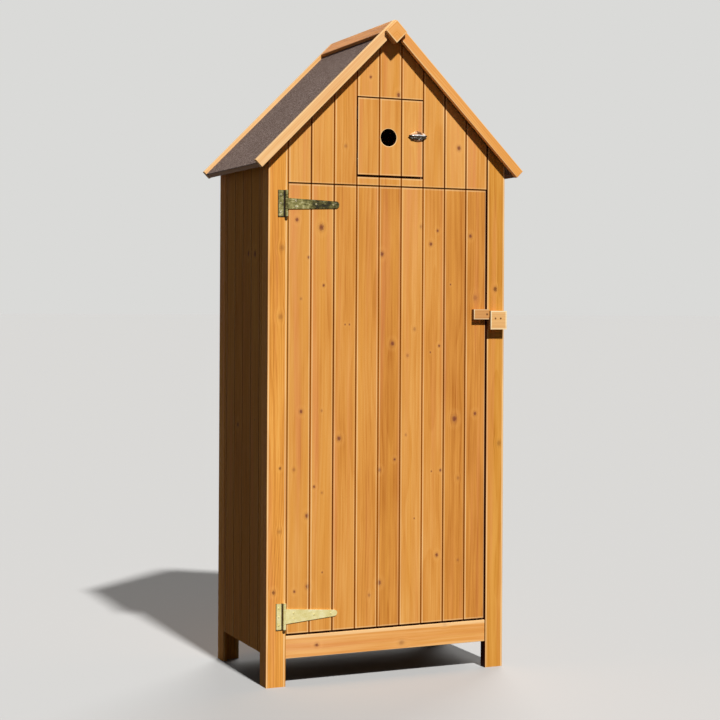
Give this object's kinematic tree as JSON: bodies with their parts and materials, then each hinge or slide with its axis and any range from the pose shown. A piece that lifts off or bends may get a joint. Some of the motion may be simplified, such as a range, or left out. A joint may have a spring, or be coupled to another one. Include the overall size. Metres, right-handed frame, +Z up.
{
  "type": "garden storage cabinet",
  "caption": "Tall narrow timber garden cabinet with a steep gable roof, a strap-hinged board door held by a sliding wooden latch, and a small gable flap with a turn catch.",
  "frame": {"origin": "on the ground under the middle of the cabinet's whole box, roof overhangs included", "axes": "+Z up, +X to the right seen from the front, +Y from the door side to the back"},
  "size_m": [0.77, 0.4436, 1.726],
  "materials": {
    "pine_board": "satin orange-honey stain, vertical grain",
    "pine_post": "satin orange-honey stain",
    "pine_inner": "planed, unstained",
    "pine_trim": "satin light peach stain",
    "roofing_felt": "grey-brown mineral granules on bitumen",
    "dark_zinc": "tarnished olive",
    "yellow_zinc": "pale yellow passivated zinc",
    "steel_screw": "zinc plated",
    "bronzed_steel": "bronzed",
    "chrome": "polished",
    "plain_steel": "zinc plated"
  },
  "bodies": {
    "cabinet": {"back_boards": "pine_board", "side_boards_left": "pine_board", "side_boards_right": "pine_board", "gable_boards_left": "pine_board", "gable_boards_right": "pine_board", "gable_boards_middle": "pine_board", "front_post_left": "pine_post", "front_post_right": "pine_post", "rear_post_left": "pine_post", "rear_post_right": "pine_post", "leg_stiles_left": "pine_post", "leg_stiles_right": "pine_post", "bottom_rail_front": "pine_post", "bottom_rail_rear": "pine_post", "back_battens": "pine_inner", "side_battens": "pine_inner", "eave_plates": "pine_inner", "floor_boards": "pine_inner", "lower_shelf": "pine_inner", "upper_shelf": "pine_inner", "loft_shelf": "pine_inner", "header_rail": "pine_inner", "rafters": "pine_inner", "flap_frame": "pine_inner", "roof_panel_left": "pine_inner", "roof_panel_right": "pine_inner", "front_barge_left": "pine_trim", "front_barge_right": "pine_trim", "rear_barges": "pine_trim", "ridge_cap_left": "pine_trim", "ridge_cap_right": "pine_trim", "ridge_block": "pine_trim", "latch_block": "pine_trim", "roof_felt": "roofing_felt", "upper_hinge_plate": "dark_zinc", "lower_hinge_plate": "yellow_zinc", "hinge_pins": "steel_screw", "hinge_plate_screws": "steel_screw", "latch_block_screws": "steel_screw", "flap_hinge_fixed_leaves": "bronzed_steel"},
    "door": {"door_board_hinge_edge": "pine_board", "door_boards_middle": "pine_board", "door_board_latch_edge": "pine_board", "door_ledges": "pine_inner", "upper_hinge_strap": "dark_zinc", "lower_hinge_strap": "yellow_zinc", "hinge_strap_screws": "steel_screw", "latch_runner": "pine_inner"},
    "latch_bar": {"latch_bar": "pine_trim", "latch_stop_screw": "steel_screw"},
    "flap": {"flap_board_left": "pine_board", "flap_board_middle": "pine_board", "flap_board_right": "pine_board", "flap_ledges": "pine_inner", "flap_hinge_moving_leaves": "bronzed_steel", "catch_rose": "chrome"},
    "catch": {"catch_handle": "chrome", "catch_cam": "plain_steel"}
  },
  "joints": [
    {"name": "door", "type": "hinge", "parent": "cabinet", "child": "door", "pos_m": [-0.293, -0.18955, 0.709], "axis": [0, 0, -1], "range_deg": [0, 170]},
    {"name": "latch_bar", "type": "slide", "parent": "door", "child": "latch_bar", "axis": [1, 0, 0], "range_m": [0, 0.0115]},
    {"name": "flap", "type": "hinge", "parent": "cabinet", "child": "flap", "pos_m": [-0.096, -0.18665, 1.42025], "axis": [0, 0, -1], "range_deg": [0, 120]},
    {"name": "catch", "type": "hinge", "parent": "flap", "child": "catch", "pos_m": [0.078, -0.18475, 1.42725], "axis": [0, -1, 0], "range_deg": [0, 90]}
  ]
}
